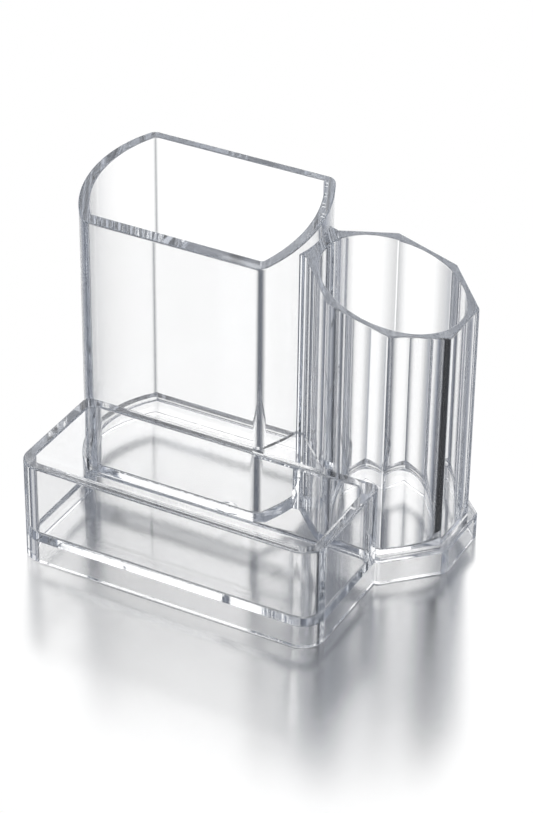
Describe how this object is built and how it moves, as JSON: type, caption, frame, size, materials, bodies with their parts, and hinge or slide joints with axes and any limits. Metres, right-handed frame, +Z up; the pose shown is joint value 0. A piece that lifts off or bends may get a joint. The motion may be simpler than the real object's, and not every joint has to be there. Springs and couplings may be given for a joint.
{
  "type": "cosmetics organiser",
  "caption": "Clear moulded cosmetics organiser: low front tray, tall bow-sided compartment with a rising rim, and an octagonal brush cup with a slanted rim.",
  "frame": {"origin": "on the standing surface, under the middle of the footprint", "axes": "+X to the right along the tray's front, +Y to the rear, +Z up out of the containers"},
  "size_m": [0.1168, 0.082, 0.0924],
  "materials": {
    "clear_plastic": "clear polished moulded polystyrene"
  },
  "bodies": {
    "root": {"base_floor": "clear_plastic", "base_skirt": "clear_plastic", "front_tray": "clear_plastic", "tall_compartment": "clear_plastic", "brush_cup": "clear_plastic", "joining_web": "clear_plastic", "corner_shelf": "clear_plastic"}
  },
  "joints": []
}
